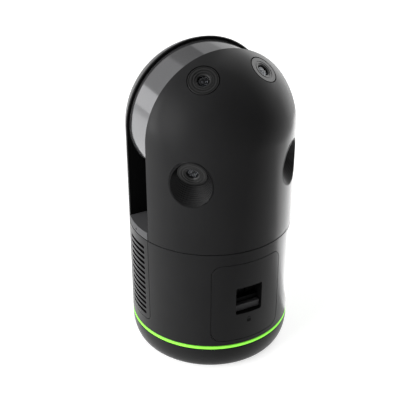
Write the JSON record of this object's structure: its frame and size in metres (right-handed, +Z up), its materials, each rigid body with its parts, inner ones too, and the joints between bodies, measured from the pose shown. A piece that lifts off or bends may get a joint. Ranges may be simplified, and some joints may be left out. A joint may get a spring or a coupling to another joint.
{
  "type": "panoramic laser scanner",
  "caption": "Hand-sized capsule laser scanner: a domed head turns on a rounded foot, a mirror drum spins in its upright slot, and a battery slides out of its side",
  "frame": {"origin": "middle of the underside, where the foot pad rests", "axes": "+Z is up along the pan axis, +X points to the cameras and the battery, and the scan slot opens to -Y and +Y"},
  "size_m": [0.08, 0.08, 0.1534],
  "materials": {
    "charcoal_shell": "fine matt charcoal",
    "black_plastic": "matt black",
    "lens_grey": "satin dark grey",
    "drum_gloss": "polished grey",
    "green_light": "lit light guide",
    "rubber": "matt",
    "steel": "machined",
    "raw_aluminium": "machined",
    "winding": "enamelled copper wire",
    "board_green": "solder mask",
    "lens_glass": "coated glass",
    "mirror_face": "polished",
    "pack_plastic": "matt"
  },
  "bodies": {
    "foot": {"foot_shell": "charcoal_shell", "foot_pad": "rubber", "mount_insert": "steel", "pan_bearing": "steel", "pan_magnet_ring": "steel"},
    "head": {"head_floor": "raw_aluminium", "pan_stator": "winding", "light_ring": "green_light", "body_shell": "charcoal_shell", "vent_front": "charcoal_shell", "vent_rear": "charcoal_shell", "battery_bay": "raw_aluminium", "battery_contacts": "black_plastic", "chassis_frame": "raw_aluminium", "main_board": "board_green", "heat_sink_front": "raw_aluminium", "heat_sink_rear": "raw_aluminium", "switch_bracket": "raw_aluminium", "upper_deck": "raw_aluminium", "slot_floor": "charcoal_shell", "camera_hood": "charcoal_shell", "rear_hood": "charcoal_shell", "camera_cheek": "black_plastic", "rear_cheek": "black_plastic", "laser_window": "lens_glass", "laser_unit": "black_plastic", "laser_bracket": "raw_aluminium", "laser_board": "board_green", "motor_bracket": "raw_aluminium", "spindle_bearing": "steel", "motor_housing": "raw_aluminium", "motor_stator": "winding", "dome_bezel_left": "lens_grey", "dome_bezel_right": "lens_grey", "dome_lens_left": "lens_glass", "dome_lens_right": "lens_glass", "dome_camera_left": "black_plastic", "dome_camera_right": "black_plastic", "lens_cup_left": "black_plastic", "lens_cup_right": "black_plastic", "side_bezel_left": "lens_grey", "side_bezel_right": "lens_grey", "side_lens_left": "lens_glass", "side_lens_right": "lens_glass", "side_camera_left": "black_plastic", "side_camera_right": "black_plastic"},
    "rotor": {"rotor_drum": "drum_gloss", "scan_mirror": "mirror_face", "rotor_shaft": "steel", "motor_magnet": "steel", "encoder_disc": "lens_glass"},
    "battery": {"battery_panel": "charcoal_shell", "battery_pack": "pack_plastic"},
    "latch": {"latch_slider": "black_plastic"},
    "button": {"power_button": "black_plastic"}
  },
  "joints": [
    {"name": "head_pan", "type": "hinge", "parent": "foot", "child": "head", "pos_m": [0, 0, 0.0129], "axis": [0, 0, 1], "continuous": true},
    {"name": "mirror_spin", "type": "hinge", "parent": "head", "child": "rotor", "pos_m": [0, 0, 0.115], "axis": [1, 0, 0], "continuous": true},
    {"name": "battery_slide", "type": "slide", "parent": "head", "child": "battery", "axis": [1, 0, 0], "range_m": [0, 0.045]},
    {"name": "latch_slide", "type": "slide", "parent": "battery", "child": "latch", "axis": [0, 0, 1], "range_m": [0, 0.004]},
    {"name": "power_press", "type": "slide", "parent": "head", "child": "button", "axis": [1, 0, 0], "range_m": [0, 0.0008], "stiffness_N_per_m": 1500}
  ]
}
